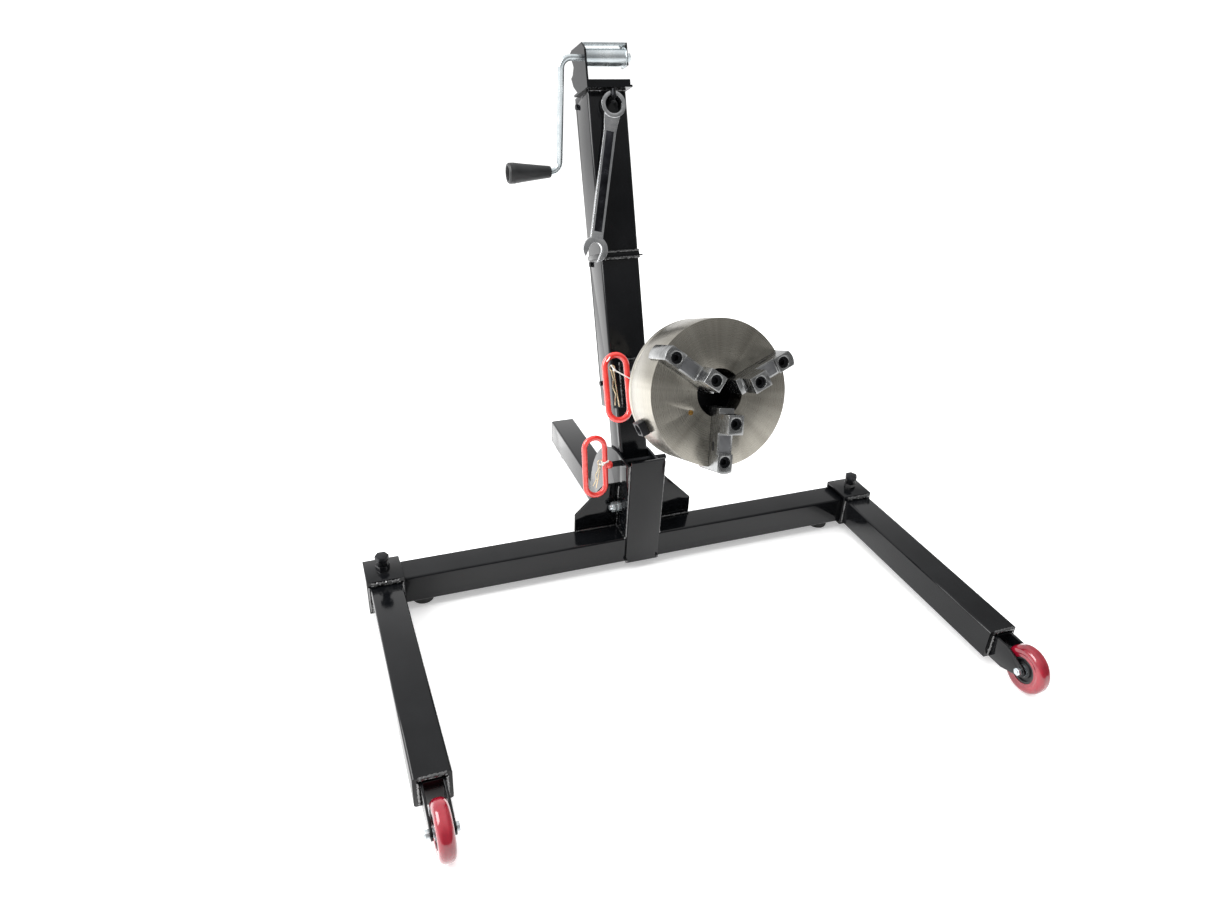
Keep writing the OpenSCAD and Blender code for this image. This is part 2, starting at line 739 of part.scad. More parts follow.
// Pinion between two jaws; the left one has a square socket block
module pinion(i) {
    reach = chuck_d / 2 - pinion_in;
    color("#3a3c3e") chuck() rotate([0, 0, jaw_angle + 120 * i + 60])
        translate([pinion_in, 0, -pinion_z]) along_x() difference() {
            union() {
                cylinder(r = pinion_r, h = reach);
                if (i == 1) translate([-pinion_block / 2, -pinion_block / 2, reach + free])
                    cube([pinion_block, pinion_block, 13]);
                if (i == 1) cylinder(r = pinion_r - 1, h = reach + 2);
            }
            translate([-4.5, -4.5, reach - 20]) cube([9, 9, 40]);
            if (i == 1) translate([0, 0, reach + free + 8]) cylinder(r = 9, h = 10);
        }
}

module jaw_screws(i) {
    color("#151617") chuck() for (k = [0, 1]) rotate([0, 0, jaw_angle + 120 * i])
        translate([jaw_screw_rs[k], 0, (k == 0 ? jaw_step_h : jaw_low_h) - 20]) difference() {
            cylinder(d = jaw_screw_d, h = 14);
            translate([0, 0, 7]) hex(10, 10);
        }
}

module lube_plug() {
    color("#c8a24c") chuck() translate([-53, -25, -6]) cylinder(d = 8, h = 6.5);
}

// ---- Wrench and its hook ----

module wrench_hook() {
    out = mast_front - wrench_y + wrench_ring_t / 2 + free + 2 * hook_r;
    hook_z = wrench_z + wrench_hole_r - hook_r - free;
    color("#1d1e20") mast() translate([wrench_x, mast_front, hook_z]) {
        rotate([90, 0, 0]) cylinder(r = hook_r, h = out);
        translate([0, -out + hook_r, 0]) cylinder(r = hook_r, h = 14);
    }
}

// Combination wrench hung by its ring
module wrench() {
    jaw_r = 25;
    color("#c9cccd") mast() translate([wrench_x, wrench_y, wrench_z]) rotate([0, wrench_lean, 0]) rotate([90, 0, 0]) {
        difference() {
            union() {
                translate([0, 0, -wrench_ring_t / 2]) cylinder(r = wrench_ring_r, h = wrench_ring_t);
                translate([0, 0, -wrench_bar_t / 2]) linear_extrude(wrench_bar_t)
                    polygon([[-17, -12], [17, -12], [12.5, -48], [12, -wrench_len], [-12, -wrench_len], [-12.5, -48]]);
                translate([0, -wrench_len, -wrench_bar_t / 2]) cylinder(r = jaw_r, h = wrench_bar_t);
            }
            translate([0, 0, -wrench_ring_t]) cylinder(r = wrench_hole_r, h = 2 * wrench_ring_t);
            translate([0, -wrench_len, 0]) rotate([0, 0, -15]) {
                translate([-13, -2 * jaw_r, -wrench_bar_t]) cube([26, 2 * jaw_r, 2 * wrench_bar_t]);
                translate([0, 0, -wrench_bar_t]) cylinder(r = 13, h = 2 * wrench_bar_t);
            }
        }
    }
}

crossbeam();
rear_leg();
front_plate();
sector_plate(-1);  // left_sector_plate
sector_plate(1);  // right_sector_plate
gussets();
rubber_feet();
pivot_bolt();
leg(-1);  // left_leg
leg_sleeve(-1);  // left_leg_sleeve
fork(-1);  // left_fork
axle(-1);  // left_axle
tyre(-1);  // left_tyre
hub(-1);  // left_hub
wheel_bearings(-1);  // left_wheel_bearings
clamp_bolt(-1);  // left_clamp_bolt
leg(1);  // right_leg
leg_sleeve(1);  // right_leg_sleeve
fork(1);  // right_fork
axle(1);  // right_axle
tyre(1);  // right_tyre
hub(1);  // right_hub
wheel_bearings(1);  // right_wheel_bearings
clamp_bolt(1);  // right_clamp_bolt
inner_post();
lower_mast();
upper_mast();
collar();
slide_liners();
liner_screws();
head_arm();
spindle_bushes();
winch_frame();
wrench_hook();
winch_drum();
crank_rod();
crank_grip();
lock_pin();
lock_pin_ring();
lock_pin_clip();
index_pin();
index_pin_ring();
index_pin_clip();
chuck_body();
chuck_backplate();
backplate_screws();
spindle();
scroll_plate();
lube_plug();
jaw(0);  // jaw_1
jaw(1);  // jaw_2
jaw(2);  // jaw_3
jaw_screws(0);  // jaw_screws_1
jaw_screws(1);  // jaw_screws_2
jaw_screws(2);  // jaw_screws_3
pinion(0);  // pinion_1
pinion(1);  // pinion_2
pinion(2);  // pinion_3
wrench();
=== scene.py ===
import bpy
import json
import math
from mathutils import Matrix, Vector

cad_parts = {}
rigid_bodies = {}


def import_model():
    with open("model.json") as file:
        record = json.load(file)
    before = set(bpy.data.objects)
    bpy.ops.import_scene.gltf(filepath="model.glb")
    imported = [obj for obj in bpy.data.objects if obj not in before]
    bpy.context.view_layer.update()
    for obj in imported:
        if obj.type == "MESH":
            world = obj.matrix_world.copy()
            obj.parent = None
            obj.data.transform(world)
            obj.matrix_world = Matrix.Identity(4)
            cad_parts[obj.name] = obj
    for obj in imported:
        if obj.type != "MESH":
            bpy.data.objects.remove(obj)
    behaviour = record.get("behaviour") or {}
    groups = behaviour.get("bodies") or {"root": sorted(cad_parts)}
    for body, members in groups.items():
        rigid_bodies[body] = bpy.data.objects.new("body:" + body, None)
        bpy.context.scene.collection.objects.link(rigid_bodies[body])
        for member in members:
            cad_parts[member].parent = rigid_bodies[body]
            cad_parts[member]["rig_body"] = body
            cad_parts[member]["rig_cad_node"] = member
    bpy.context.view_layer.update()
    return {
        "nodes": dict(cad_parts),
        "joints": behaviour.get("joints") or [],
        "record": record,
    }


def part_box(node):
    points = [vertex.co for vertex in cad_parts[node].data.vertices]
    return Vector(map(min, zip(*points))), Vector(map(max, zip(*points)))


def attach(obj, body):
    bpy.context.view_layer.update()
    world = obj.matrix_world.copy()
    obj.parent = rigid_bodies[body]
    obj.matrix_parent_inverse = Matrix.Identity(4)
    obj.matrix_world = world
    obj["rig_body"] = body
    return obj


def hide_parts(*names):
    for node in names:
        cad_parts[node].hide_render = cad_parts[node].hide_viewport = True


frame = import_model()
bpy.ops.object.select_all(action="DESELECT")
print("frame loaded")

# places shared by several pieces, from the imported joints
joints = {j["name"]: j for j in frame["joints"]}
bodyOf = {n: b for b, members in frame["record"]["behaviour"]["bodies"].items() for n in members}
slotOf = {s["node"]: s["material_slot"] for s in frame["record"]["subparts"]}
sideways = Vector((1, 0, 0))
mastUp = Vector(joints["mast_lift"]["axis"]).normalized()
chuckOut = Vector(joints["chuck_turn"]["axis"]).normalized()
chuckMiddle = Vector(joints["chuck_turn"]["pos_m"])  # on the axis, at the back of the chuck
mastAxes = Matrix((sideways, -chuckOut, mastUp)).transposed().to_4x4()
mastPlace = Matrix.Translation(joints["mast_tilt"]["pos_m"]) @ mastAxes
chuckAxes = Matrix((sideways, mastUp, chuckOut)).transposed().to_4x4()
chuckPlace = Matrix.Translation(chuckMiddle) @ chuckAxes
floorPlace = Matrix.Translation((0, sum(corner[1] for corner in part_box("crossbeam")) / 2, 0))


def linear(hexColour):  # sRGB hex to the linear values that the shaders take
    parts = [int(hexColour[i:i + 2], 16) / 255 for i in (1, 3, 5)]
    return tuple(p / 12.92 if p <= 0.04045 else ((p + 0.055) / 1.055) ** 2.4 for p in parts) + (1.0,)


def addNode(material, kind, settings, links=()):
    node = material.node_tree.nodes.new(kind)
    for name, value in settings.items():
        if name == "stops":
            for element, (spot, hexColour) in zip(node.color_ramp.elements, value):
                element.position = spot
                element.color = linear(hexColour)
        elif isinstance(name, int) or name in node.inputs:
            node.inputs[name].default_value = value
        else:
            setattr(node, name, value)
    for name, source in links:
        material.node_tree.links.new(source, node.inputs[name])
    return node


def startMaterial(name, settings):
    material = bpy.data.materials.new(name)
    material.use_nodes = True
    material.node_tree.nodes.clear()
    shader = addNode(material, "ShaderNodeBsdfPrincipled", settings)
    addNode(material, "ShaderNodeOutputMaterial", {}, [("Surface", shader.outputs["BSDF"])])
    return material, shader


# a colour that drifts between two tones, a roughness that drifts between two values, and a fine bump
def surfaceOf(name, look):
    material, shader = startMaterial(name, look["shader"])
    join = material.node_tree.links.new
    place = addNode(material, "ShaderNodeTexCoord", {}).outputs["Object"]
    if "place" in look:
        place = addNode(material, "ShaderNodeMapping", {
            "vector_type": "TEXTURE", "Location": look["place"].to_translation(),
            "Rotation": look["place"].to_euler()}, [("Vector", place)]).outputs["Vector"]
    if "stretch" in look:
        place = addNode(material, "ShaderNodeMapping", {
            "Scale": look["stretch"]}, [("Vector", place)]).outputs["Vector"]
    patch = addNode(material, "ShaderNodeTexNoise", {
        "Scale": 1000 / look["patch_mm"], "Detail": 4.0, "Roughness": 0.6}, [("Vector", place)])
    tone = addNode(material, "ShaderNodeValToRGB", {
        "stops": [(0.3, look["tones"][0]), (0.7, look["tones"][1])]}, [("Fac", patch.outputs["Fac"])])
    join(tone.outputs["Color"], shader.inputs["Base Color"])
    rough = addNode(material, "ShaderNodeMapRange", {
        "From Min": 0.3, "From Max": 0.7, "To Min": look["rough"][0], "To Max": look["rough"][1]},
        [("Value", patch.outputs["Fac"])])
    join(rough.outputs["Result"], shader.inputs["Roughness"])
    grain = addNode(material, "ShaderNodeTexNoise", {
        "Scale": 1000 / look["grain_mm"], "Detail": 2.0, "Roughness": 0.5}, [("Vector", place)])
    bump = addNode(material, "ShaderNodeBump", {
        "Strength": look["bump"], "Distance": look["depth_mm"] / 1000}, [("Height", grain.outputs["Fac"])])
    join(bump.outputs["Normal"], shader.inputs["Normal"])
    return material


# stoved gloss enamel over mill-rolled tube: deep black, mirror-like, with a faint orange peel
blackEnamel = surfaceOf("blackStovedEnamel", {
    "shader": {"IOR": 1.36},
    "tones": ["#07080a", "#0f1012"], "rough": [0.07, 0.17], "patch_mm": 60,
    "grain_mm": 5, "bump": 0.12, "depth_mm": 0.05})
# the same enamel run over weld spatter: lumpy, so it sparkles
weldEnamel = surfaceOf("blackEnamelOverWeld", {
    "shader": {"IOR": 1.5, "Coat Weight": 1.0, "Coat Roughness": 0.03, "Coat IOR": 1.8},
    "tones": ["#08090a", "#151617"], "rough": [0.08, 0.2], "patch_mm": 10,
    "grain_mm": 2, "bump": 1.0, "depth_mm": 1.0})
# sprayed gloss enamel on round bar: orange red with wet highlights
redEnamel = surfaceOf("redSprayedEnamel", {
    "shader": {"IOR": 1.5, "Coat Weight": 0.9, "Coat Roughness": 0.05},
    "tones": ["#d9302a", "#ee4640"], "rough": [0.18, 0.3], "patch_mm": 25,
    "grain_mm": 3, "bump": 0.15, "depth_mm": 0.05})
# black oxide on cold-headed steel: almost black with a soft oily sheen
blackOxide = surfaceOf("blackOxideSteel", {
    "shader": {"Metallic": 0.75},
    "tones": ["#1b1c1e", "#2b2c2f"], "rough": [0.3, 0.5], "patch_mm": 8,
    "grain_mm": 0.8, "bump": 0.2, "depth_mm": 0.05})
# bright zinc plate: bluish silver, slightly cloudy
zincPlate = surfaceOf("brightZincPlate", {
    "shader": {"Metallic": 0.82},
    "tones": ["#b4bdc1", "#d6dcde"], "rough": [0.2, 0.3], "patch_mm": 30,
    "grain_mm": 3, "bump": 0.04, "depth_mm": 0.02})
# yellow zinc on spring wire
yellowZinc = surfaceOf("yellowZincWire", {
    "shader": {"Metallic": 1.0},
    "tones": ["#cbb98c", "#e8ddc2"], "rough": [0.22, 0.38], "patch_mm": 5,
    "grain_mm": 0.8, "bump": 0.1, "depth_mm": 0.02})
# cast polyurethane: clear ruby red, wet gloss, light goes a little way in
rubyUrethane = surfaceOf("castRedPolyurethane", {
    "shader": {"IOR": 1.5, "Subsurface Weight": 0.12, "Subsurface Radius": (0.02, 0.004, 0.004),
               "Coat Weight": 0.8, "Coat Roughness": 0.04},
    "tones": ["#66051a", "#9e1329"], "rough": [0.1, 0.2], "patch_mm": 45,
    "grain_mm": 4, "bump": 0.08, "depth_mm": 0.1})
# injection-moulded nylon with a spark-eroded mould finish
blackNylon = surfaceOf("mouldedBlackNylon", {
    "shader": {"IOR": 1.53},
    "tones": ["#161718", "#232426"], "rough": [0.42, 0.6], "patch_mm": 12,
    "grain_mm": 0.7, "bump": 0.25, "depth_mm": 0.06})
# natural nylon: milky white, light goes a little way in
whiteNylon = surfaceOf("whiteNylon", {
    "shader": {"IOR": 1.53, "Subsurface Weight": 0.2, "Subsurface Radius": (0.004, 0.004, 0.004)},
    "tones": ["#e6e6e0", "#f4f4f0"], "rough": [0.35, 0.5], "patch_mm": 10,
    "grain_mm": 1, "bump": 0.1, "depth_mm": 0.02})
# compression-moulded rubber: black and dull
footRubber = surfaceOf("mouldedBlackRubber", {
    "shader": {"IOR": 1.52},
    "tones": ["#131313", "#1f1f1f"], "rough": [0.65, 0.85], "patch_mm": 15,
    "grain_mm": 1, "bump": 0.3, "depth_mm": 0.1})
# polished chrome-vanadium forging
toolChrome = surfaceOf("polishedToolChrome", {
    "shader": {"Metallic": 1.0},
    "tones": ["#c4c6c8", "#e2e3e4"], "rough": [0.08, 0.2], "patch_mm": 18,
    "grain_mm": 2, "bump": 0.08, "depth_mm": 0.03})
# bearing bronze, bored and reamed
bushBronze = surfaceOf("turnedBushBronze", {
    "shader": {"Metallic": 1.0},
    "tones": ["#a97a3a", "#c9a05a"], "rough": [0.2, 0.35], "patch_mm": 6,
    "grain_mm": 0.8, "bump": 0.15, "depth_mm": 0.03})
# hardened and ground tool steel: light grey, fine straight scratches
jawSteel = surfaceOf("groundJawSteel", {
    "shader": {"Metallic": 1.0}, "place": chuckPlace, "stretch": (1.0, 1.0, 6.0),
    "tones": ["#8b8c8c", "#a8a9a9"], "rough": [0.2, 0.32], "patch_mm": 16,
    "grain_mm": 1.5, "bump": 0.15, "depth_mm": 0.05})


# steel turned on a lathe: fine rings in the bump and roughness, and painted highlight and shade: light and dark
# streaks in the colour that run out from the middle
def turnedSteel(name, look):
    material, shader = startMaterial(name, look["shader"])
    join = material.node_tree.links.new
    place = addNode(material, "ShaderNodeTexCoord", {}).outputs["Object"]
    local = addNode(material, "ShaderNodeMapping", {
        "vector_type": "TEXTURE", "Location": chuckPlace.to_translation(),
        "Rotation": chuckPlace.to_euler()}, [("Vector", place)]).outputs["Vector"]
    parts = addNode(material, "ShaderNodeSeparateXYZ", {}, [("Vector", local)])
    flat = addNode(material, "ShaderNodeCombineXYZ", {}, [
        ("X", parts.outputs["X"]), ("Y", parts.outputs["Y"])])
    radius = addNode(material, "ShaderNodeVectorMath", {
        "operation": "LENGTH"}, [(0, flat.outputs["Vector"])])
    along = addNode(material, "ShaderNodeMath", {"operation": "ADD"}, [
        (0, radius.outputs["Value"]), (1, parts.outputs["Z"])])
    rings = addNode(material, "ShaderNodeTexNoise", {
        "noise_dimensions": "1D", "Scale": 1000 / look["ring_mm"], "Detail": 3.0},
        [("W", along.outputs["Value"])])
    outward = addNode(material, "ShaderNodeVectorMath", {
        "operation": "NORMALIZE"}, [(0, flat.outputs["Vector"])])
    # painted highlight and shade: light and dark streaks in the colour, running out from the axis
    streaks = addNode(material, "ShaderNodeTexNoise", {
        "Scale": look["streaks"], "Detail": 3.0, "Roughness": 0.65}, [("Vector", outward.outputs["Vector"])])
    tone = addNode(material, "ShaderNodeValToRGB", {
        "stops": [(0.34, look["tones"][0]), (0.66, look["tones"][1])]}, [("Fac", streaks.outputs["Fac"])])
    join(tone.outputs["Color"], shader.inputs["Base Color"])
    rough = addNode(material, "ShaderNodeMapRange", {
        "From Min": 0.3, "From Max": 0.7, "To Min": look["rough"][0], "To Max": look["rough"][1]},
        [("Value", rings.outputs["Fac"])])
    join(rough.outputs["Result"], shader.inputs["Roughness"])
    bump = addNode(material, "ShaderNodeBump", {
        "Strength": look["bump"], "Distance": look["depth_mm"] / 1000}, [("Height", rings.outputs["Fac"])])
    join(bump.outputs["Normal"], shader.inputs["Normal"])
    return material


chuckSteel = turnedSteel("turnedAndGroundSteel", {
    "shader": {"Metallic": 1.0}, "tones": ["#918d84", "#b2aea4"], "rough": [0.24, 0.38],
    "ring_mm": 0.9, "streaks": 2.2, "bump": 0.2, "depth_mm": 0.05})
# glass-bead blasted recess between ground faces: even, dull mid grey
blastedSteel = surfaceOf("beadBlastedSteel", {
    "shader": {"Metallic": 0.8},
    "tones": ["#6f7072", "#7d7e80"], "rough": [0.55, 0.7], "patch_mm": 10,
    "grain_mm": 0.6, "bump": 0.3, "depth_mm": 0.04})
# forged recess of the wrench shank under its plating: dark, with the hammered skin still showing
darkChrome = surfaceOf("forgedSkinUnderChrome", {
    "shader": {"Metallic": 1.0},
    "tones": ["#26272b", "#44454a"], "rough": [0.12, 0.3], "patch_mm": 14,
    "grain_mm": 6, "bump": 0.2, "depth_mm": 0.1})
print("materials made")

finishOf = {
    "black_gloss_paint": blackEnamel, "red_paint": redEnamel, "black_steel": blackOxide,
    "zinc_steel": zincPlate, "ground_steel": chuckSteel, "jaw_steel": jawSteel,
    "chrome_vanadium": toolChrome, "bronze": bushBronze, "nylon": whiteNylon,
    "black_plastic": blackNylon, "yellow_zinc_wire": yellowZinc,
    "red_polyurethane": rubyUrethane, "black_rubber": footRubber}
for name, node in frame["nodes"].items():
    node.data.materials.clear()
    node.data.materials.append(finishOf[slotOf[name]])


def pick(piece):
    bpy.ops.object.select_all(action="DESELECT")
    piece.select_set(True)
    bpy.context.view_layer.objects.active = piece


def keep(piece, name, body, material, smoothUnder=40):
    pick(piece)
    bpy.ops.object.transform_apply(location=True, rotation=True, scale=True)
    bpy.ops.object.shade_smooth_by_angle(angle=math.radians(smoothUnder))
    piece.name = name
    piece.data.name = name
    piece.data.materials.clear()
    piece.data.materials.append(material)
    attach(piece, body)
    pick(piece)
    piece.select_set(False)
    return piece


# edge radii in millimetres of the pieces that show a worn or rolled edge
edgeRadii = {
    "crossbeam": 0.8, "rear_leg": 0.8, "front_plate": 0.8, "left_sector_plate": 0.8, "right_sector_plate": 0.8,
    "gussets": 0.8, "left_leg": 0.8, "right_leg": 0.8, "left_leg_sleeve": 1.6, "right_leg_sleeve": 1.6,
    "left_fork": 0.6, "right_fork": 0.6, "left_clamp_bolt": 0.9, "right_clamp_bolt": 0.9,
    "lower_mast": 0.6, "upper_mast": 0.6, "collar": 0.8, "head_arm": 1.2, "inner_post": 0.6,
    "jaw_1": 1.3, "jaw_2": 1.3, "jaw_3": 1.3, "pinion_2": 1.0, "wrench": 1.4,
    "pivot_bolt": 0.4, "left_axle": 0.5, "right_axle": 0.5, "chuck_backplate": 0.8, "chuck_body": 0.9,
    "left_hub": 0.6, "right_hub": 0.6, "rubber_feet": 1.5, "winch_drum": 0.3, "backplate_screws": 0.6}
softening = {"mergeWithin": 0.00002, "flatWithinDegrees": 1, "sharpOverDegrees": 35, "rows": 2}


def camel(name):
    words = name.split("_")
    return words[0] + "".join(w.capitalize() for w in words[1:])


for name, radius in edgeRadii.items():
    node = frame["nodes"][name]
    piece = node.copy()
    piece.data = node.data.copy()
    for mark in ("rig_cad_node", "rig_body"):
        del piece[mark]
    piece.parent = None
    bpy.context.scene.collection.objects.link(piece)
    pick(piece)
    bpy.ops.object.mode_set(mode="EDIT")
    bpy.ops.mesh.select_all(action="SELECT")
    bpy.ops.mesh.remove_doubles(threshold=softening["mergeWithin"])
    bpy.ops.mesh.dissolve_limited(angle_limit=math.radians(softening["flatWithinDegrees"]))
    bpy.ops.object.mode_set(mode="OBJECT")
    bevel = piece.modifiers.new("softEdge", "BEVEL")
    bevel.width = radius / 1000
    bevel.segments = softening["rows"]
    bevel.limit_method = "ANGLE"
    bevel.angle_limit = math.radians(softening["sharpOverDegrees"])
    bpy.ops.object.modifier_apply(modifier="softEdge")
    keep(piece, camel(name) + "Finished", bodyOf[name], finishOf[slotOf[name]])
    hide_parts(name)
print("edges softened")


# shares of a width of 1 mm in metres, and the length of one step along a bead
laying = {"sides": 10, "ripple": 0.0004, "softEnd": 0.0003, "beadStep": 0.0014, "fewestCuts": 2, "mostCuts": 90}


# one length between two points in millimetres: a weld bead when it has lumps, else a wire or a strap
def layLength(place, start, end, width, lumps=0.0):
    low, high = place @ (Vector(start) / 1000), place @ (Vector(end) / 1000)
    length = (high - low).length
    bpy.ops.object.select_all(action="DESELECT")
    bpy.ops.mesh.primitive_cylinder_add(
        vertices=laying["sides"], radius=width / 2000, depth=length, location=(low + high) / 2,
        rotation=(high - low).to_track_quat("Z", "Y").to_euler())
    piece = bpy.context.object
    bpy.ops.object.mode_set(mode="EDIT")
    bpy.ops.mesh.select_mode(type="EDGE")
    bpy.ops.mesh.select_all(action="DESELECT")
    bpy.ops.object.mode_set(mode="OBJECT")
    for edge in piece.data.edges:  # the lengthwise edges
        ends = [piece.data.vertices[i].co.z for i in edge.vertices]
        edge.select = abs(ends[0] - ends[1]) > length / 2
    bpy.ops.object.mode_set(mode="EDIT")
    beadCuts = min(laying["mostCuts"], max(laying["fewestCuts"], round(length / laying["beadStep"])))
    bpy.ops.mesh.subdivide(number_cuts=beadCuts if lumps else 1)
    bpy.ops.mesh.select_mode(type="VERT")
    bpy.ops.object.mode_set(mode="OBJECT")
    if lumps:
        ripple = bpy.data.textures.new("weldRipple", "CLOUDS")
        ripple.noise_scale = width * laying["ripple"]
        push = piece.modifiers.new("lumps", "DISPLACE")
        push.texture = ripple
        push.strength = lumps / 1000
        bpy.ops.object.modifier_apply(modifier="lumps")
    else:
        soft = piece.modifiers.new("softEnds", "BEVEL")
        soft.width = width * laying["softEnd"]
        soft.segments = softening["rows"]
        soft.limit_method = "ANGLE"
        bpy.ops.object.modifier_apply(modifier="softEnds")
    return piece


def joined(pieces):
    bpy.ops.object.select_all(action="DESELECT")
    for piece in pieces:
        piece.select_set(True)
    bpy.context.view_layer.objects.active = pieces[0]
    bpy.ops.object.join()
    return bpy.context.object


# beads of the sleeve and the fork of one leg
def legBeads(side):
    x = side * 1000 * sum(corner[0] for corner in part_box("right_leg")) / 2
    return [
        ((x - 27, -37, 80), (x + 27, -37, 80), 9), ((x - 31, -36.5, 19), (x - 31, -36.5, 76), 5),
        ((x + 31, -36.5, 19), (x + 31, -36.5, 76), 5), ((x - 22, -506, 75), (x + 22, -506, 75), 6),
        ((x - 21, -507, 24), (x - 21, -507, 70), 5.5), ((x + 21, -507, 24), (x + 21, -507, 70), 5.5)]


# weld beads, each from one point to the next in millimetres, with its width
beadLumps = 0.6  # share of the width
welds = {
    "baseWelds": {"body": "base", "place": floorPlace, "beads": [
        bead for s in (-1, 1) for bead in (
            ((s * 37, -31, 84), (s * 37, -31, 252), 4), ((s * 38, -30, 79), (s * 38, 21, 79), 6),
            ((s * 38, 21.5, 82), (s * 38, 21.5, 176), 4.5), ((s * 40, 21.5, 79), (s * 130, 21.5, 79), 5),
            ((s * 35, -37, 20), (s * 35, -37, 26), 4))]},
    "leftLegWelds": {"body": "left_leg_unit", "place": floorPlace, "beads": legBeads(-1)},
    "rightLegWelds": {"body": "right_leg_unit", "place": floorPlace, "beads": legBeads(1)},
    "mastWelds": {"body": "mast", "place": mastPlace, "beads": [
        ((-40, -23.5, 503), (40, -23.5, 503), 5), ((-40, -23, 516), (40, -23, 516), 4),
        ((-21, -24, 209), (-21, -24, 299), 5), ((21, -24, 209), (21, -24, 299), 5),
        ((-19, -24, 302), (19, -24, 302), 5), ((-38, -23, 817.5), (38, -23, 817.5), 4)]}}
for name, seam in welds.items():
    beads = [layLength(seam["place"], start, end, width, lumps=width * beadLumps)
             for start, end, width in seam["beads"]]
    keep(joined(beads), name, seam["body"], weldEnamel, smoothUnder=50)
print("welds laid")

# spring clips that hang in the ring handles, and the white ties that hold them, in millimetres across
# and up from a point 27 mm in from each ring's left edge
ringPlaces = {
    "lock": {"box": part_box("lock_pin_ring"), "body": "lock_pin_unit", "node": "lock_pin_clip",
             "eye": (10, 4), "tip": (-2, -46), "tie": [(6, 7), (14, 5), (27, 12)], "loop": (21.5, 8, 0)},
    "index": {"box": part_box("index_pin_ring"), "body": "index_pin_unit", "node": "index_pin_clip",
              "eye": (-7, 34), "tip": (-2, -36), "tie": [(-12, 44), (-6, 34), (23, 15)], "loop": (-15.2, 54.7, 45)}}
clip = {"fromLeft": 27, "wire": 2.4, "eyeRadius": 5.0, "eyeSet": 3.5, "gap": 5.0, "wave": 1.8,
        "bends": (0.25, 0.45, 0.65), "tail": 4, "flare": 3}
tie = {"width": 2.4, "inFront": 7.5, "loopRadius": 6.8, "loopThick": 1.2, "knot": 5, "knotDown": 2, "knotUp": 2.5}
for name, ring in ringPlaces.items():
    low, high = [Vector(corner) for corner in ring["box"]]
    turn = Matrix.Rotation(math.radians(-12), 4, "X") if name == "lock" else mastPlace.to_3x3().to_4x4()
    heart = Vector((low.x + clip["fromLeft"] / 1000, (low.y + high.y) / 2, (low.z + high.z) / 2))
    place = Matrix.Translation(heart) @ turn
    axes = place.to_3x3().to_4x4()
    eye, tip = Vector((ring["eye"][0], 0, ring["eye"][1])), Vector((ring["tip"][0], 0, ring["tip"][1]))
    along = (tip - eye).normalized()
    across = Vector((-along.z, 0, along.x))
    span = (tip - eye).length
    half = clip["gap"] / 2
    wires = [layLength(place, eye + across * half, tip + across * half, clip["wire"])]
    bends = [eye - across * half]
    for k, share in enumerate(clip["bends"]):
        bends.append(eye + along * span * share - across * (half + (clip["wave"] if k % 2 else -clip["wave"])))
    bends.append(tip - along * clip["tail"] - across * (half + clip["flare"]))
    wires += [layLength(place, a, b, clip["wire"]) for a, b in zip(bends, bends[1:])]
    bpy.ops.mesh.primitive_torus_add(
        major_radius=clip["eyeRadius"] / 1000, minor_radius=clip["wire"] / 2000,
        major_segments=32, minor_segments=10, location=place @ ((eye - along * clip["eyeSet"]) / 1000),
        rotation=(axes @ Matrix.Rotation(math.radians(90), 4, "X")).to_euler())
    wires.append(bpy.context.object)
    spring = keep(joined(wires), name + "SpringClip", ring["body"], yellowZinc)
    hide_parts(ring["node"])
    x, z, roll = ring["loop"]
    bpy.ops.mesh.primitive_torus_add(
        major_radius=tie["loopRadius"] / 1000, minor_radius=tie["loopThick"] / 1000,
        major_segments=32, minor_segments=8, location=place @ Vector((x / 1000, 0, z / 1000)),
        rotation=(axes @ Matrix.Rotation(math.radians(-roll), 4, "Y")).to_euler())
    strap = [bpy.context.object]
    points = [Vector((tieX, -tie["inFront"], tieZ)) for tieX, tieZ in ring["tie"]]
    strap += [layLength(place, a, b, tie["width"]) for a, b in zip(points, points[1:])]
    knotFrom, knotTo = points[1] - Vector((0, tie["knotDown"], 0)), points[1] + Vector((0, tie["knotUp"], 0))
    strap.append(layLength(place, knotFrom, knotTo, tie["knot"]))
    keep(joined(strap), name + "Tie", ring["body"], whiteNylon)
print("clips and ties made")



# a rectangular block, with its size and its middle in millimetres
def layBlock(place, size, middle):
    bpy.ops.object.select_all(action="DESELECT")
    bpy.ops.mesh.primitive_cube_add(
        size=0.001, location=place @ (Vector(middle) / 1000), rotation=place.to_euler())
    piece = bpy.context.object
    piece.scale = size
    bpy.ops.object.transform_apply(location=False, rotation=False, scale=True)
    return piece


def softenBlock(piece, width, rows):
    soft = piece.modifiers.new("softEdge", "BEVEL")
    soft.width = width / 1000
    soft.segments = rows
    bpy.ops.object.modifier_apply(modifier="softEdge")
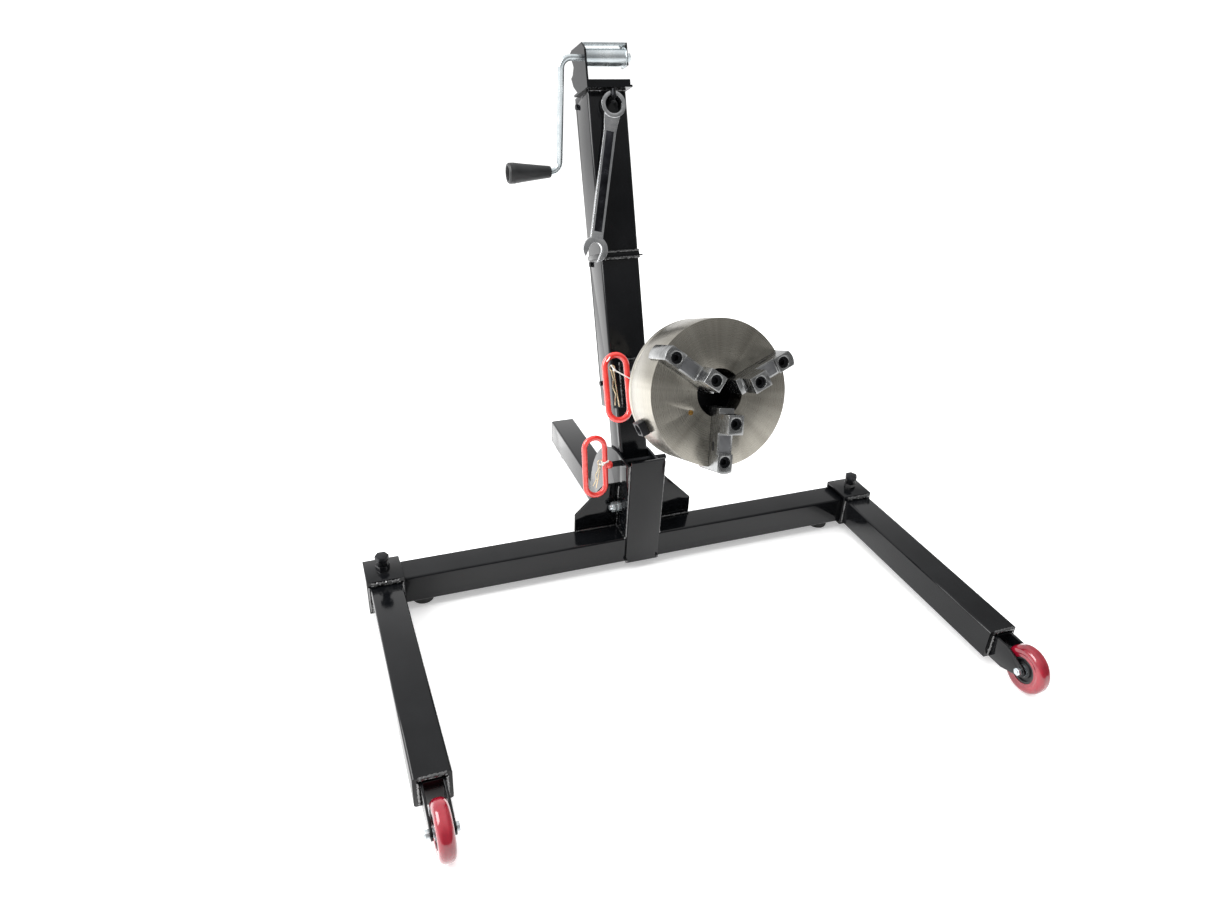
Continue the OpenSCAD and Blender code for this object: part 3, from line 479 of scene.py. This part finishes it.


# blasted panels between the steps of each jaw, and dark plates on its sides that are painted shade, standing for
# the dark inside of its slots;
# each size and middle is out from the axis, across the jaw and up from the chuck face
jawMarks = {
    "Panel": {"size": (28, 20, 0.8), "middle": (79.5, 0, 28), "material": blastedSteel, "slot": "jaw_steel"},
    "LeftSlot": {"size": (15, 0.6, 5), "middle": (84, 13, 13), "material": blackOxide, "slot": "black_steel"},
    "RightSlot": {"size": (15, 0.6, 5), "middle": (84, -13, 13), "material": blackOxide, "slot": "black_steel"}}
jawAngles = {"jaw_a": 22, "jaw_b": 142, "jaw_c": 262}
faceHeight = Vector((0, 0, 95))
for body, angle in jawAngles.items():
    spin = chuckPlace @ Matrix.Rotation(math.radians(angle), 4, "Z")
    for part, mark in jawMarks.items():
        plate = layBlock(spin, mark["size"], Vector(mark["middle"]) + faceHeight)
        bpy.ops.object.mode_set(mode="EDIT")
        bpy.ops.mesh.select_all(action="SELECT")
        bpy.ops.mesh.bevel(offset=0.00018, segments=2)
        bpy.ops.object.mode_set(mode="OBJECT")
        keep(plate, camel(body) + part, body, mark["material"])
print("jaws detailed")

# black oxide sleeve in the chuck bore, below the jaws: painted shade, a dark sleeve that darkens the inside of the
# bore
boreShade = {"radius": 39.7, "low": 12.3, "high": 58, "wall": 0.8, "sides": 96}
bpy.ops.object.select_all(action="DESELECT")
bpy.ops.mesh.primitive_cylinder_add(
    vertices=boreShade["sides"], radius=boreShade["radius"] / 1000, rotation=chuckPlace.to_euler(),
    depth=(boreShade["high"] - boreShade["low"]) / 1000,
    location=chuckPlace @ Vector((0, 0, (boreShade["low"] + boreShade["high"]) / 2000)))
shadeSleeve = bpy.context.object
bpy.ops.object.mode_set(mode="EDIT")
bpy.ops.mesh.select_mode(type="FACE")
bpy.ops.mesh.select_all(action="DESELECT")
bpy.ops.object.mode_set(mode="OBJECT")
for face in shadeSleeve.data.polygons:  # the front end, which is open
    face.select = face.normal.z > 0.9
bpy.ops.object.mode_set(mode="EDIT")
bpy.ops.mesh.delete(type="FACE")
bpy.ops.mesh.select_mode(type="VERT")
bpy.ops.object.mode_set(mode="OBJECT")
wall = shadeSleeve.modifiers.new("wall", "SOLIDIFY")
wall.thickness = boreShade["wall"] / 1000
wall.offset = -1
bpy.ops.object.modifier_apply(modifier="wall")
keep(shadeSleeve, "boreLining", "chuck", blackOxide)

# bright zinc-coloured sheath on the strip over the winch drum: painted reflection, standing for the bright sky
# mirrored in the strip's black gloss paint
skyReflection = {"size": (86, 29, 5.2), "middle": (0, -15, 900), "softness": 1, "rows": 3}
strip = layBlock(mastPlace, skyReflection["size"], skyReflection["middle"])
softenBlock(strip, skyReflection["softness"], skyReflection["rows"])
keep(strip, "winchStripSheath", "mast", zincPlate)
print("bore and winch detailed")

# dark forged recess along the wrench shank, on both faces
shank = {"size": (15.5, 0.7, 190), "across": 2.8, "setBack": 0.5, "face": 4.0, "down": 157.4,
         "hangsAt": 12.8, "softness": 0.3, "rows": 2}
hung = mastPlace.inverted() @ Vector(joints["wrench_swing"]["pos_m"])
wrenchPlace = mastPlace @ Matrix.Translation(hung) @ Matrix.Rotation(math.radians(shank["hangsAt"]), 4, "Y")
for name, side in (("wrenchFrontRecess", -1), ("wrenchBackRecess", 1)):
    middle = (shank["across"], side * shank["face"] - shank["setBack"], -shank["down"])
    plate = layBlock(wrenchPlace, shank["size"], middle)
    softenBlock(plate, shank["softness"], shank["rows"])
    keep(plate, name, "wrench_unit", darkChrome)
print("wrench detailed")

# a white studio: angles in radians, the lens in millimetres for a sensor 36 mm wide, the rest in metres
studio = {
    "camera": (-0.6355, -1.354, 1.1298), "yaw": 0.3782, "pitch": -0.5182, "roll": 0.0479,
    "lens": 26.03, "sensor": 36, "farthest": 1000, "lightsAim": (0, 0, 0.35),
    "floorSize": 900.0, "floorColour": "#f4f4f4", "floorGlow": 0.36}
yaw, pitch, roll = studio["yaw"], studio["pitch"], studio["roll"]
forward = Vector((math.sin(yaw) * math.cos(pitch), math.cos(yaw) * math.cos(pitch), math.sin(pitch)))
level = Vector((math.cos(yaw), -math.sin(yaw), 0))
above = level.cross(forward)
cameraRight = level * math.cos(roll) + above * math.sin(roll)
cameraUp = above * math.cos(roll) - level * math.sin(roll)
bpy.ops.object.camera_add(location=studio["camera"])
camera = bpy.context.object
camera.rotation_euler = Matrix((cameraRight, cameraUp, -forward)).transposed().to_euler()
camera.data.sensor_width = studio["sensor"]
camera.data.lens = studio["lens"]
camera.data.clip_end = studio["farthest"]
bpy.context.scene.camera = camera

bpy.ops.mesh.primitive_plane_add(size=studio["floorSize"], location=(0, 0, 0))
floor = bpy.context.object
floor.name = "studioFloor"
# seamless paper, matt and lit from below so that it burns out to white
paper = startMaterial("whiteStudioPaper", {
    "Base Color": linear(studio["floorColour"]), "Roughness": 0.9, "Specular IOR Level": 0.1,
    "Emission Color": (1, 1, 1, 1), "Emission Strength": studio["floorGlow"]})[0]
floor.data.materials.append(paper)

# sky that is darkest in front of the stand and dimmer to its right
world = bpy.data.worlds.new("studioWorld")
bpy.context.scene.world = world
world.use_nodes = True
world.node_tree.nodes.clear()
sky = addNode(world, "ShaderNodeTexCoord", {})
skyParts = addNode(world, "ShaderNodeSeparateXYZ", {}, [("Vector", sky.outputs["Generated"])])
shade = addNode(world, "ShaderNodeMapRange", {
    "interpolation_type": "SMOOTHSTEP", "From Min": -0.95, "From Max": -0.1, "To Min": 0.28, "To Max": 1.1},
    [("Value", skyParts.outputs["Y"])])
rightShade = addNode(world, "ShaderNodeMapRange", {
    "interpolation_type": "SMOOTHSTEP", "From Min": 0.2, "From Max": 0.8, "To Min": 1.0, "To Max": 0.4},
    [("Value", skyParts.outputs["X"])])
bothShades = addNode(world, "ShaderNodeMath", {"operation": "MULTIPLY"}, [
    (0, shade.outputs["Result"]), (1, rightShade.outputs["Result"])])
glow = addNode(world, "ShaderNodeBackground", {
    "Color": (1, 1, 1, 1)}, [("Strength", bothShades.outputs["Value"])])
addNode(world, "ShaderNodeOutputWorld", {}, [("Surface", glow.outputs["Background"])])

# power in watts; a mirrored box shows in glossy faces
softBoxes = {
    "leftSoftBox": {"place": (-2.6, 0.4, 2.2), "size": 2.2, "power": 130, "mirrored": True},
    "topSoftBox": {"place": (0.2, 0.6, 3.0), "size": 2.6, "power": 45, "mirrored": False},
    "rightSoftBox": {"place": (2.6, 0.6, 1.8), "size": 1.6, "power": 30, "mirrored": False}}
for name, box in softBoxes.items():
    bpy.ops.object.light_add(type="AREA", location=box["place"])
    light = bpy.context.object
    light.name = name
    light.data.shape = "SQUARE"
    light.data.size = box["size"]
    light.data.energy = box["power"]
    light.visible_glossy = box["mirrored"]
    aim = Vector(studio["lightsAim"]) - Vector(box["place"])
    light.rotation_euler = aim.to_track_quat("-Z", "Y").to_euler()
bpy.context.scene.view_settings.view_transform = "Standard"
print("studio set up")
